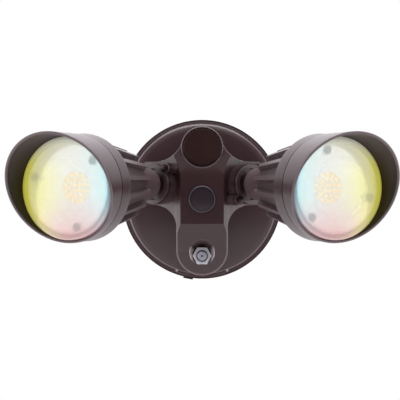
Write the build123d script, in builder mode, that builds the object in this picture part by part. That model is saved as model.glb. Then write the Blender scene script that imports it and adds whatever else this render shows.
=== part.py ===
from build123d import *
from math import cos, radians, sin, tan
import os

# Security flood light: two adjustable lamp heads on a round wall canopy.
# X runs to the right, Y into the wall and Z up. The wall is the plane Y = 0, and the
# origin is the middle of the canopy's back. A depth is a distance in front of the wall.

# Clearances and small common sizes
slip_gap = 0.3  # between pieces of different bodies that pass each other
bearing_gap = 0.05  # radial, a turning spigot or pin in its bore
seat_gap = 0.02  # radial, a fixed piece in its hole
overrun = 60.0  # how far cutting tools run past the metal
casting_wall = 3.0
edge_round = 1.2
lobe_round = 1.3
head_rim_share = 0.45  # the straight part of a domed screw head

# Canopy: a round pan
canopy_r = 63.5
rim_depth = 12.0
rim_lip_width = 2.9
rim_step_width = 1.5
rim_step_height = 1.6
dome_depth = 24.0

# Wall gasket and mounting plate
gasket_thickness = 1.5
gasket_width = 3.6
gasket_rim_setback = 0.3
gasket_tab_width = 7.8
gasket_tab_reach = 1.6
gasket_tab_turn = -100.0  # direction of the tab in the wall plane, degrees from +X
plate_thickness = 2.0
plate_rim_gap = 7.6  # from the gasket's inner edge to the ends of the plate
plate_bar_width = 20.0
plate_corner_round = 4.0
plate_hook_depth = 6.0
plate_hook_height = 8.0
plate_hook_width = 14.0
box_slot_length = 14.3
box_slot_width = 4.8
box_slot_margin = 5.15  # metal beyond each slot for the outlet box screws
ground_slot_gap = 12.55
ground_screw_r = 2.0
ground_screw_head_r = 4.2
ground_screw_head_height = 2.6

# Cross-shaped housing raised on the pan
panel_depth = 47.0
panel_top_drop = 21.0  # the panel ends this far below the top lobe's middle
panel_bottom_z = -19.3
upper_slope = 23.0  # the face above the panel leans back, degrees
lower_slope = 24.0  # the face below the panel leans back, degrees
top_lobe_r = 16.6
top_lobe_margin = 6.2  # from the top lobe to the pan's edge
top_boss_setback = 5.5  # the plug's boss stands this far behind the panel
low_lobe_r = 20.3
low_lobe_rise = 4.45  # the low lobe's middle stands this far above the stud
arm_top_z = 29.8
arm_bottom_z = -4.8
arm_reach = 46.0
arm_round_reach = 6.0  # the rounding on an arm starts this far in from its end
upper_blend_r = 22.0
lower_blend_r = 17.0
scoop_r = 19.0
crease_round = 0.8
scoop_start = 12.0  # from the port's middle to where its seat turns up to the panel

# Mounting stud, nut and their cone-shaped recess
stud_margin = 7.55  # from the stud's middle to the end of the plate
stud_r = 4.0
stud_hole_r = 4.5
stud_collar_r = 6.5
stud_collar_height = 1.5
stud_end_cone = 0.8
stud_dimple_r = 1.0
stud_beyond_nut = 2.4
nut_across_flats = 13.0
nut_thickness = 6.5
nut_cone_share = 0.35  # how much of a nut's corners the cone takes off
washer_r = 6.9
washer_thickness = 1.2
washer_bore_r = 4.2
recess_floor_r = 8.0
recess_sink = 2.4  # the recess's floor lies this far behind the leaning face
recess_flare = 31.0  # half angle of the cone, degrees

# Port plug and its sealing ring
plug_face_r = 15.0
plug_face_thickness = 5.0
plug_edge_bevel = 0.6
plug_gap = 0.35
plug_shank_r = 10.2
plug_shank_length = 9.0
plug_floor_thickness = 4.0
plug_ring_r = 12.6
plug_ring_thickness = 0.9

# Photocell
cell_window_r = 9.4
cell_window_dome = 1.0
cell_window_thickness = 1.5
cell_window_sink = 0.5  # the window's edge lies this far behind the ring's face
cell_ring_r = 10.6
cell_ring_height = 1.0
cell_ring_bevel = 0.5
cell_seat_depth = 1.6
cell_gap = 0.25
cell_body_r = 8.4
cell_body_length = 12.0
cell_nut_thickness = 3.0
cell_nut_across_flats = 22.0

# Driver inside the pan
driver_length = 58.0
driver_height = 22.0
driver_thickness = 12.0
driver_z = -17.0
driver_back_depth = 3.2
driver_edge_round = 2.0
driver_ear_rise = 7.5
driver_ear_thickness = 2.0
driver_boss_r = 3.4
driver_screw_r = 1.5
driver_screw_grip = 4.0
driver_screw_head_r = 2.8
driver_screw_head_height = 1.8

# Ports, swivels and lamp head directions
pivot_side = 45.5
pivot_depth = 52.0
pivot_z = 11.8
port_yaw = 38.0  # a port faces outward from straight ahead, degrees
head_yaw = 26.5  # a lamp head faces outward from straight ahead, degrees
head_pitch = 2.0  # a lamp head faces down, degrees
seat_back = 23.0  # from the pivot back to the port's seat
port_wall = 6.0
port_boss_r = 21.5
swing_half_angle = 36.0  # a head bends this far from its port's axis, degrees
slot_extra_angle = 1.5

# Collar that holds a swivel on its port
collar_bore_r = 13.5
collar_outer_r = 15.6
collar_lip_bore_r = 12.4
collar_front_back = 10.6  # from the pivot back to the collar's front
collar_lip_thickness = 3.6
lug_circle_r = 17.4
lug_r = 4.2
lug_turn = 45.0  # the screws stand above and below, turned this far, degrees
collar_screw_r = 1.9
collar_screw_grip = 5.0
collar_screw_head_r = 3.3
collar_screw_head_height = 1.8

# Swivel: disc, hollow spigot and tongue
port_ring_r = 10.9
port_ring_thickness = 0.8
spigot_r = 8.0
spigot_bore_r = 6.0
spigot_nut_thickness = 5.0
spigot_nut_across_flats = 21.0
spigot_beyond_nut = 1.5
tongue_thickness = 7.0
tongue_half_height = 5.0
wire_hole_r = 1.6
wire_hole_margin = 0.4
hinge_pin_r = 2.5
hinge_pin_length = 24.6

# Lamp head, measured forward from its pivot along its own axis
dome_r = 13.2
neck_length = 17.0
fin_rear = 33.0
fin_step = 2.76  # from the flange's rim down to the fins' front ends
fin_rear_slant = 5.0  # a fin's outer corner stands this far in front of its root
fin_flare = 0.18  # the fins' outer edge rises by this share of its length
fin_count = 16
fin_thickness = 3.2
fin_depth = 4.6  # how far the fins stand above the core
flange_rear = 91.0
flange_width = 6.8  # from the bowl to the flange's rim
flange_draft = 0.5  # the rim is this much smaller in front
flange_edge_round = 1.5
bowl_r = 32.6
board_top = 102.0
board_thickness = 1.6
board_r = 24.0
chip_size = 2.6
chip_height = 0.6
chip_ring_rs = (2.9, 6.5, 10.0)
chip_ring_counts = (4, 9, 14)

# Hood, its gasket and its screws
hood_rear_beyond_board = 2.6
hood_gap = 0.7
hood_seam_depth = 1.5  # the gasket lies this far inside the flange's rim
hood_overhang = 0.4  # radial, of the hood over the flange's front
hood_flare = 0.05
hood_wall = 1.95
hood_mid_height = 25.4  # height of the slanted rim above the board at its middle
hood_half_rise = 15.9  # how far the rim's long side stands above that
hood_turn = 21.5  # the long side leans outward from straight up, degrees
hood_rim_round = 0.7
hood_lip_step = 0.3  # the lip's bore is this much larger than the bowl, radially
hood_lip_thickness = 4.0
hood_screw_r = 1.25
hood_screw_wall = 0.1  # from the bowl to a screw's head
hood_screw_head_r = 2.5
hood_screw_head_height = 1.8
hood_screw_count = 4

# Lens and its gasket
lens_gap = 0.2
lens_wall = 2.6
lens_height = 8.6
lens_corner_r = 3.4
lens_crown = 1.2
lens_gasket_thickness = 1.0

# Reflector: a dish with a flat rim, on three bosses
reflector_throat_r = 12.2
reflector_mouth_gap = 0.6  # radial, from the dish's mouth to the bowl
reflector_rim_gap = 0.55  # radial, from the flat rim to the lens
reflector_height = 13.0
reflector_lift = 0.4
reflector_wall = 1.2
dish_mid_share = 0.55
dish_rise_share = 0.36
reflector_boss_r = 3.5
reflector_boss_drop = 0.6  # the bosses end this far below the rim
reflector_well_r = 2.8
reflector_post_rise = 6.0  # the screws' heads stand this far above the board
reflector_boss_gap = 0.3  # from a boss to the bowl
reflector_screw_count = 3
reflector_screw_r = 1.3
reflector_screw_grip = 6.0
reflector_screw_head_r = 2.6
reflector_screw_head_height = 1.4
reflector_screw_turns = {"left": 43.7, "right": 106.5}  # first screw, degrees from +X

# Places and radii that follow from the sizes above
gasket_inner_r = canopy_r - gasket_rim_setback - gasket_width
gasket_tab_edge_r = canopy_r + gasket_tab_reach
plate_bar_length = 2 * (gasket_inner_r - plate_rim_gap)
box_slot_spacing = plate_bar_length - box_slot_length - 2 * box_slot_margin
ground_screw_side = (box_slot_spacing - box_slot_length) / 2 - ground_slot_gap
stud_z = stud_margin - plate_bar_length / 2
top_lobe_z = canopy_r - top_lobe_margin - top_lobe_r
panel_top_z = top_lobe_z - panel_top_drop
low_lobe_z = stud_z + low_lobe_rise
top_boss_depth = panel_depth - top_boss_setback
upper_blend_z = arm_top_z + upper_blend_r
upper_blend_x = ((top_lobe_r + upper_blend_r) ** 2 - (upper_blend_z - top_lobe_z) ** 2) ** 0.5
recess_floor_depth = (panel_depth - recess_sink
                      - (panel_bottom_z - stud_z) * tan(radians(lower_slope)))
step_r = canopy_r - rim_lip_width
dome_edge_r = step_r - rim_step_width
dome_edge_depth = rim_depth + rim_step_height
collar_height = seat_back - collar_front_back
flange_rear_r = bowl_r + flange_width
flange_front_r = flange_rear_r - flange_draft
flange_rise = flange_rear - fin_rear
fin_front_r = flange_rear_r - fin_step
fin_rear_r = fin_front_r - fin_flare * flange_rise
fin_corner_r = fin_rear_r + fin_flare * fin_rear_slant
hood_rear = board_top + hood_rear_beyond_board
hood_rear_r = flange_front_r + hood_overhang
hood_gasket_r = flange_front_r - hood_seam_depth
hood_lip_r = bowl_r + hood_lip_step
hood_screw_circle_r = bowl_r + hood_screw_wall + hood_screw_head_r
lens_r = hood_rear_r + hood_flare * hood_lip_thickness - hood_wall - lens_gap
reflector_mouth_r = bowl_r - reflector_mouth_gap
reflector_rim_r = lens_r - lens_wall - reflector_rim_gap
reflector_screw_circle_r = bowl_r - reflector_boss_gap - reflector_boss_r
flange_front = hood_rear - hood_gap
front_plane = Plane.XZ  # its normal points away from the wall


def port_plane(side):
    """Plane at a head's pivot, square to its port: x to the right, y up, z out of the port."""
    turn = radians(port_yaw)
    return Plane(origin=(side * pivot_side, -pivot_depth, pivot_z),
                 x_dir=(cos(turn), side * sin(turn), 0), z_dir=(side * sin(turn), -cos(turn), 0))


def head_plane(side):
    """Plane at a head's pivot, square to the lamp head: x to the right, y up, z forward."""
    turn = radians(head_yaw)
    dip = radians(head_pitch)
    return Plane(origin=(side * pivot_side, -pivot_depth, pivot_z),
                 x_dir=(cos(turn), side * sin(turn), 0),
                 z_dir=(side * sin(turn) * cos(dip), -cos(turn) * cos(dip), -sin(dip)))


def section_plane(across):
    """Plane through the z axis of another plane: its x is the same and its y is that z axis."""
    return Plane(origin=across.origin, x_dir=across.x_dir, z_dir=-across.y_dir)


def hinge_direction(side):
    """Direction of a head's hinge pin, square to the port and to the lamp head, pointing up."""
    return port_plane(side).z_dir.cross(head_plane(side).z_dir).normalized() * -side


def cross_outline(inset):
    """Outline of the cross-shaped housing from the front, drawn in by a wall thickness."""
    top_r = top_lobe_r - inset
    low_r = low_lobe_r - inset
    arm_top = arm_top_z - inset
    arm_bottom = arm_bottom_z + inset
    reach = arm_reach - inset
    upper_r = upper_blend_r + inset
    lower_r = lower_blend_r + inset
    lobe_share = top_r / (top_r + upper_r)
    leave_lobe = (upper_blend_x * lobe_share,
                  top_lobe_z + (upper_blend_z - top_lobe_z) * lobe_share)
    with BuildSketch(front_plane) as cross:
        with BuildLine():
            RadiusArc((0, top_lobe_z + top_r), leave_lobe, top_r)
            RadiusArc(leave_lobe, (upper_blend_x, arm_top), -upper_r)
            Polyline((upper_blend_x, arm_top), (reach, arm_top), (reach, arm_bottom),
                     (low_r + lower_r, arm_bottom))
            RadiusArc((low_r + lower_r, arm_bottom), (low_r, arm_bottom - lower_r), -lower_r)
            Line((low_r, arm_bottom - lower_r), (low_r, low_lobe_z))
            RadiusArc((low_r, low_lobe_z), (0, low_lobe_z - low_r), low_r)
            mirror(about=Plane.YZ)
        make_face()
    return cross.sketch


def housing_block(inset):
    """Cross-shaped block with leaning faces and scooped arms, drawn in by a wall thickness."""
    front = panel_depth - inset
    with BuildPart() as block:
        extrude(cross_outline(inset), amount=front)
        # The faces above and below the panel lean back
        for crease, slope, way in ((panel_top_z, upper_slope, 1), (panel_bottom_z, lower_slope, -1)):
            start = crease - way * inset * tan(radians(slope) / 2)
            with BuildSketch(Plane.YZ) as wedge:
                Polygon((-front, start), (-front - overrun, start),
                        (-front - overrun, start + way * overrun),
                        (overrun * tan(radians(slope)) - front, start + way * overrun), align=None)
            extrude(wedge.sketch, amount=overrun, both=True, mode=Mode.SUBTRACT)
        # Each arm falls away from the panel in a scoop to a flat seat square to its port
        for side in (-1, 1):
            seat = port_plane(side).offset(-seat_back - inset)
            with BuildSketch(Plane(seat.origin, x_dir=seat.x_dir, z_dir=(0, 0, 1))) as scoop:
                with Locations((-side * scoop_start, 0)):
                    Rectangle(overrun, overrun,
                              align=(Align.MIN if side > 0 else Align.MAX, Align.MAX))
                with Locations((-side * scoop_start, -scoop_r - inset)):
                    Circle(scoop_r + inset)
            extrude(scoop.sketch, amount=overrun, both=True, mode=Mode.SUBTRACT)
        # A round boss holds the plug in the top lobe
        with BuildSketch(front_plane) as boss:
            with Locations((0, top_lobe_z)):
                Circle(top_lobe_r - inset)
        extrude(boss.sketch, amount=top_boss_depth - inset)
    return block.part


def rounded_housing():
    """The whole housing block with its outer edges rounded."""
    with BuildPart() as block:
        add(housing_block(0))
        raised = [edge for edge in block.edges() if edge.center().Y < -gasket_thickness]
        arm_edges = [edge for edge in raised if abs(edge.center().X) > arm_reach - arm_round_reach]
        fillet(arm_edges, edge_round)
        raised = [edge for edge in block.edges() if edge.center().Y < -dome_depth]
        lobe_edges = [edge for edge in raised if edge.center().Z < low_lobe_z
                      or abs(abs(edge.center().X) - low_lobe_r) < seat_gap]
        fillet(lobe_edges, lobe_round)
        boss_edges = [edge for edge in block.edges().filter_by(GeomType.CIRCLE)
                      if abs(edge.center().Y + top_boss_depth) < seat_gap]
        fillet(boss_edges, edge_round)
        panel_sides = [edge for edge in block.edges().filter_by(Axis.Z)
                       if abs(edge.center().Y + panel_depth) < seat_gap]
        fillet(panel_sides, crease_round)
    return block.part


def crown_radius(half_width, rise):
    """Radius of the arc that rises by an amount over a half width."""
    return (half_width ** 2 + rise ** 2) / (2 * rise)


def pan_body(inset):
    """Round pan with a stepped rim and a domed face, drawn in by a wall thickness."""
    edge_depth = dome_edge_depth - inset
    edge_r = dome_edge_r - inset
    top_depth = dome_depth - inset
    rise = top_depth - edge_depth
    with BuildPart() as pan:
        with BuildSketch(Plane.XY):
            with BuildLine():
                Polyline((0, 0), (canopy_r - inset, 0), (canopy_r - inset, inset - rim_depth),
                         (step_r - inset, inset - rim_depth), (edge_r, -edge_depth))
                RadiusArc((edge_r, -edge_depth), (0, -top_depth), crown_radius(edge_r, rise))
                Line((0, -top_depth), (0, 0))
            make_face()
        revolve(axis=Axis.Y)
    return pan.part


def disc(plane, radius, thickness, bore=0.0):
    """Round plate standing on a plane, with an optional bore."""
    with BuildPart() as plate:
        with BuildSketch(plane):
            Circle(radius)
            if bore:
                Circle(bore, mode=Mode.SUBTRACT)
        extrude(amount=thickness)
    return plate.part


def six_sided_nut(plane, across_flats, thickness, bore):
    """Nut standing on a plane, its corners turned off by a cone on the far side."""
    corner_r = across_flats / 2 / cos(radians(30))
    turned = corner_r - across_flats / 2
    with BuildPart() as nut:
        with BuildSketch(plane):
            RegularPolygon(corner_r, 6)
            Circle(bore, mode=Mode.SUBTRACT)
        extrude(amount=thickness)
        with BuildSketch(section_plane(plane)):
            Polygon((0, 0), (corner_r, 0), (corner_r, thickness - turned * nut_cone_share),
                    (across_flats / 2, thickness), (0, thickness), align=None)
        revolve(axis=Axis(plane.origin, plane.z_dir), mode=Mode.INTERSECT)
    return nut.part


def screw(plane, shank_r, shank_length, head_r, head_height):
    """Domed-head screw: the head stands on the plane and the shank runs behind it."""
    rim_height = head_height * head_rim_share
    with BuildPart() as body:
        with BuildSketch(section_plane(plane)):
            with BuildLine():
                Polyline((0, head_height), (0, -shank_length), (shank_r, -shank_length),
                         (shank_r, 0), (head_r, 0), (head_r, rim_height))
                RadiusArc((head_r, rim_height), (0, head_height),
                          -crown_radius(head_r, head_height - rim_height))
            make_face()
        revolve(axis=Axis(plane.origin, plane.z_dir))
    return body.part


def at(plane, x, y, z=0.0):
    """The same plane moved by an amount along each of its own directions."""
    return Plane(plane.from_local_coords((x, y, z)), x_dir=plane.x_dir, z_dir=plane.z_dir)


def around(plane, distance, count, first_turn=0.0):
    """Planes spaced evenly on a circle about a plane's middle."""
    turns = [radians(first_turn + 360 * i / count) for i in range(count)]
    return [at(plane, distance * cos(turn), distance * sin(turn)) for turn in turns]


def finish_piece(part, name):
    """Name a finished piece and write it to its file."""
    part.label = name
    export_step(part, os.path.join("parts", name + ".step"))


os.makedirs("parts", exist_ok=True)

# Foam gasket between the canopy and the wall, with a tab that shows below the rim
with BuildPart() as wall_gasket:
    with BuildSketch(front_plane):
        Circle(canopy_r - gasket_rim_setback)
        with PolarLocations(gasket_tab_edge_r, 1, start_angle=gasket_tab_turn):
            Rectangle(gasket_width, gasket_tab_width, align=(Align.MAX, Align.CENTER))
        Circle(gasket_inner_r, mode=Mode.SUBTRACT)
    extrude(amount=gasket_thickness)
finish_piece(wall_gasket.part, "wall_gasket")

# Cross-shaped steel plate that screws to the outlet box, with a hook that carries the canopy
stud_plane = at(front_plane, 0, stud_z)
ground_plane = at(front_plane, ground_screw_side, 0, plate_thickness)
hook_z = plate_bar_length / 2
hook_top_z = hook_z - plate_thickness + plate_hook_height
hook_end = -plate_hook_depth - plate_thickness
with BuildPart() as mounting_plate:
    with BuildSketch(front_plane):
        RectangleRounded(plate_bar_width, plate_bar_length, plate_corner_round)
        RectangleRounded(plate_bar_length, plate_bar_width, plate_corner_round)
        with GridLocations(box_slot_spacing, 0, 2, 1):
            SlotOverall(box_slot_length, box_slot_width, mode=Mode.SUBTRACT)
        with Locations((0, stud_z)):
            Circle(stud_r + seat_gap, mode=Mode.SUBTRACT)
        with Locations((ground_screw_side, 0)):
            Circle(ground_screw_r + seat_gap, mode=Mode.SUBTRACT)
    extrude(amount=plate_thickness)
    with BuildSketch(Plane.YZ):
        Polygon((0, hook_z - plate_thickness), (hook_end, hook_z - plate_thickness),
                (hook_end, hook_top_z), (-plate_hook_depth, hook_top_z),
                (-plate_hook_depth, hook_z), (0, hook_z), align=None)
    extrude(amount=plate_hook_width / 2, both=True)
finish_piece(mounting_plate.part, "mounting_plate")

ground_screw = screw(ground_plane, ground_screw_r, plate_thickness, ground_screw_head_r,
                     ground_screw_head_height)
finish_piece(ground_screw, "ground_screw")

# Threaded stud standing on the plate, its end centre-drilled
stud_end_depth = recess_floor_depth + washer_thickness + nut_thickness + stud_beyond_nut
with BuildPart() as mounting_stud:
    with BuildSketch(section_plane(stud_plane)):
        Polygon((0, 0), (stud_r, 0), (stud_r, plate_thickness), (stud_collar_r, plate_thickness),
                (stud_collar_r, plate_thickness + stud_collar_height),
                (stud_r, plate_thickness + stud_collar_height), (stud_r, stud_end_depth - stud_end_cone),
                (stud_r - stud_end_cone, stud_end_depth), (stud_dimple_r, stud_end_depth),
                (0, stud_end_depth - stud_dimple_r), align=None)
    revolve(axis=Axis(stud_plane.origin, stud_plane.z_dir))
finish_piece(mounting_stud.part, "mounting_stud")

washer_plane = stud_plane.offset(recess_floor_depth)
washer = disc(washer_plane, washer_r, washer_thickness, washer_bore_r)
finish_piece(washer, "mounting_washer")
hex_nut = six_sided_nut(washer_plane.offset(washer_thickness), nut_across_flats, nut_thickness,
                        stud_r + seat_gap)
finish_piece(hex_nut, "mounting_nut")

# Room inside the canopy: open at the back, with bosses left standing in it
ear_side = driver_length / 2 + driver_boss_r + slip_gap
ear_depth = driver_back_depth + driver_ear_rise
plug_floor_depth = top_boss_depth - plug_face_thickness - plug_ring_thickness
with BuildPart() as canopy_room:
    add(pan_body(casting_wall))
    add(housing_block(casting_wall))
    with BuildSketch(front_plane.offset(recess_floor_depth - casting_wall)) as recess_boss:
        with Locations((0, stud_z)):
            Circle(recess_floor_r + casting_wall)
    extrude(recess_boss.sketch, amount=overrun, mode=Mode.SUBTRACT)
    with BuildSketch(front_plane.offset(plug_floor_depth - plug_floor_thickness)) as plug_boss:
        with Locations((0, top_lobe_z)):
            Circle(top_lobe_r)
    extrude(plug_boss.sketch, amount=overrun, mode=Mode.SUBTRACT)
    with BuildSketch(front_plane.offset(ear_depth)) as driver_bosses:
        with Locations((-ear_side, driver_z), (ear_side, driver_z)):
            Circle(driver_boss_r)
    extrude(driver_bosses.sketch, amount=overrun, mode=Mode.SUBTRACT)
    for side in (-1, 1):
        with BuildSketch(port_plane(side).offset(-seat_back - port_wall)) as port_boss:
            Circle(port_boss_r)
        extrude(port_boss.sketch, amount=overrun, mode=Mode.SUBTRACT)

# Canopy: one casting of the round pan, the cross-shaped housing and its ports
with BuildPart() as canopy:
    add(pan_body(0))
    # Below the low lobe the rim's step is filled flush
    with BuildSketch(front_plane) as drip_pad:
        Circle(canopy_r)
        with Locations((0, low_lobe_z)):
            Rectangle(2 * low_lobe_r, canopy_r, align=(Align.CENTER, Align.MAX), mode=Mode.INTERSECT)
    extrude(drip_pad.sketch, amount=dome_edge_depth)
    add(rounded_housing())
    add(canopy_room.part, mode=Mode.SUBTRACT)
    # The back is set off the wall by the gasket
    with BuildSketch(front_plane) as gasket_space:
        Circle(canopy_r)
    extrude(gasket_space.sketch, amount=gasket_thickness, mode=Mode.SUBTRACT)
    # Rib inside the top of the rim that hangs on the plate's hook
    rib_bottom = hook_z + slip_gap
    with BuildSketch(front_plane.offset(plate_thickness + slip_gap)) as rib:
        with Locations((0, rib_bottom)):
            Rectangle(plate_hook_width, canopy_r - casting_wall / 2 - rib_bottom,
                      align=(Align.CENTER, Align.MIN))
    extrude(rib.sketch, amount=plate_hook_depth - plate_thickness - 2 * slip_gap)
    # Cone-shaped recess and hole for the mounting stud
    with BuildSketch(section_plane(stud_plane)) as recess:
        Polygon((0, recess_floor_depth), (recess_floor_r, recess_floor_depth),
                (recess_floor_r + overrun * tan(radians(recess_flare)), recess_floor_depth + overrun),
                (0, recess_floor_depth + overrun), align=None)
    revolve(recess.sketch, axis=Axis(stud_plane.origin, stud_plane.z_dir), mode=Mode.SUBTRACT)
    with BuildSketch(stud_plane) as stud_hole:
        Circle(stud_hole_r)
    extrude(stud_hole.sketch, amount=overrun, mode=Mode.SUBTRACT)
    # Tapped port for the plug, with a seat for its face
    with BuildSketch(front_plane) as plug_port:
        with Locations((0, top_lobe_z)):
            Circle(plug_shank_r + seat_gap)
    extrude(plug_port.sketch, amount=overrun, mode=Mode.SUBTRACT)
    with BuildSketch(front_plane.offset(plug_floor_depth)) as plug_seat:
        with Locations((0, top_lobe_z)):
            Circle(plug_face_r + plug_gap)
    extrude(plug_seat.sketch, amount=overrun, mode=Mode.SUBTRACT)
    # Hole and shallow seat for the photocell
    with BuildSketch(front_plane) as cell_hole:
        Circle(cell_body_r + seat_gap)
    extrude(cell_hole.sketch, amount=overrun, mode=Mode.SUBTRACT)
    with BuildSketch(front_plane.offset(panel_depth - cell_seat_depth)) as cell_seat:
        Circle(cell_ring_r + cell_gap)
    extrude(cell_seat.sketch, amount=overrun, mode=Mode.SUBTRACT)
    # Tapped holes for the driver's screws
    for way in (-1, 1):
        with BuildSketch(at(front_plane, way * ear_side, driver_z)) as driver_hole:
            Circle(driver_screw_r + seat_gap)
        extrude(driver_hole.sketch, amount=ear_depth + driver_screw_grip, mode=Mode.SUBTRACT)
    # Ports: a bore for each spigot, spot faces and tapped holes for the collar's screws
    for side in (-1, 1):
        seat = port_plane(side).offset(-seat_back)
        with BuildSketch(seat) as collar_seat:
            Circle(collar_outer_r + slip_gap)
        extrude(collar_seat.sketch, amount=overrun, mode=Mode.SUBTRACT)
        with BuildSketch(seat.offset(-port_wall - slip_gap)) as bore:
            Circle(spigot_r + bearing_gap)
        extrude(bore.sketch, amount=overrun, mode=Mode.SUBTRACT)
        for lug in around(seat, lug_circle_r, 2, lug_turn):
            with BuildSketch(lug) as spot_face:
                Circle(lug_r + slip_gap)
            extrude(spot_face.sketch, amount=overrun, mode=Mode.SUBTRACT)
            with BuildSketch(lug) as tapped_hole:
                Circle(collar_screw_r + seat_gap)
            extrude(tapped_hole.sketch, amount=-collar_screw_grip, mode=Mode.SUBTRACT)
finish_piece(canopy.part, "canopy")

# Plug that closes the top port, on a sealing ring
plug_plane = at(front_plane, 0, top_lobe_z, plug_floor_depth)
plug_ring = disc(plug_plane, plug_ring_r, plug_ring_thickness, plug_shank_r + seat_gap)
finish_piece(plug_ring, "plug_sealing_ring")
with BuildPart() as port_plug:
    with BuildSketch(plug_plane.offset(plug_ring_thickness)):
        Circle(plug_face_r)
    extrude(amount=plug_face_thickness)
    chamfer(port_plug.edges().group_by(Axis.Y)[0], plug_edge_bevel)
    with BuildSketch(plug_plane.offset(plug_ring_thickness)) as shank:
        Circle(plug_shank_r)
        Circle(plug_shank_r - casting_wall, mode=Mode.SUBTRACT)
    extrude(shank.sketch, amount=-plug_shank_length)
finish_piece(port_plug.part, "port_plug")

# Photocell: a threaded case, its clear window and the nut behind the panel
window_edge = panel_depth + cell_ring_height - cell_window_sink
with BuildPart() as photocell_case:
    with BuildSketch(front_plane.offset(panel_depth - cell_seat_depth)):
        Circle(cell_ring_r)
    extrude(amount=cell_seat_depth + cell_ring_height)
    chamfer(photocell_case.edges().group_by(Axis.Y)[0], cell_ring_bevel)
    with BuildSketch(front_plane.offset(panel_depth - cell_seat_depth)) as stem:
        Circle(cell_body_r)
    extrude(stem.sketch, amount=-cell_body_length)
    with BuildSketch(front_plane.offset(window_edge - cell_window_thickness)) as pocket:
        Circle(cell_window_r + seat_gap)
    extrude(pocket.sketch, amount=overrun, mode=Mode.SUBTRACT)
finish_piece(photocell_case.part, "photocell_case")

window_back = window_edge - cell_window_thickness
window_top = window_edge + cell_window_dome
with BuildPart() as photocell_window:
    with BuildSketch(Plane.XY):
        with BuildLine():
            Polyline((0, -window_back), (cell_window_r, -window_back), (cell_window_r, -window_edge))
            RadiusArc((cell_window_r, -window_edge), (0, -window_top),
                      crown_radius(cell_window_r, cell_window_dome))
            Line((0, -window_top), (0, -window_back))
        make_face()
    revolve(axis=Axis.Y)
finish_piece(photocell_window.part, "photocell_window")

cell_nut_plane = at(front_plane, 0, 0, panel_depth - casting_wall - cell_nut_thickness)
photocell_nut = six_sided_nut(cell_nut_plane, cell_nut_across_flats, cell_nut_thickness,
                              cell_body_r + seat_gap)
finish_piece(photocell_nut, "photocell_nut")

# Driver: a potted case with an ear at each end, held by two screws from behind
with BuildPart() as led_driver:
    with BuildSketch(front_plane.offset(driver_back_depth)):
        with Locations((0, driver_z)):
            Rectangle(driver_length, driver_height)
    extrude(amount=driver_thickness)
    fillet(led_driver.edges().filter_by(Axis.Y), driver_edge_round)
    with BuildSketch(front_plane.offset(ear_depth - driver_ear_thickness)) as ears:
        with Locations((0, driver_z)):
            SlotOverall(2 * (ear_side + driver_boss_r), 2 * driver_boss_r)
            with Locations((-ear_side, 0), (ear_side, 0)):
                Circle(driver_screw_r + seat_gap, mode=Mode.SUBTRACT)
    extrude(ears.sketch, amount=driver_ear_thickness)
finish_piece(led_driver.part, "led_driver")

# The heads face the wall, so these screws point the other way
driver_screw_list = []
for way in (-1, 1):
    ear_back = Plane((way * ear_side, driver_ear_thickness - ear_depth, driver_z),
                     x_dir=(1, 0, 0), z_dir=(0, 1, 0))
    driver_screw_list.append(
        screw(ear_back, driver_screw_r, driver_ear_thickness + driver_screw_grip,
              driver_screw_head_r, driver_screw_head_height))
finish_piece(Compound(children=driver_screw_list), "driver_screws")

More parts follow.
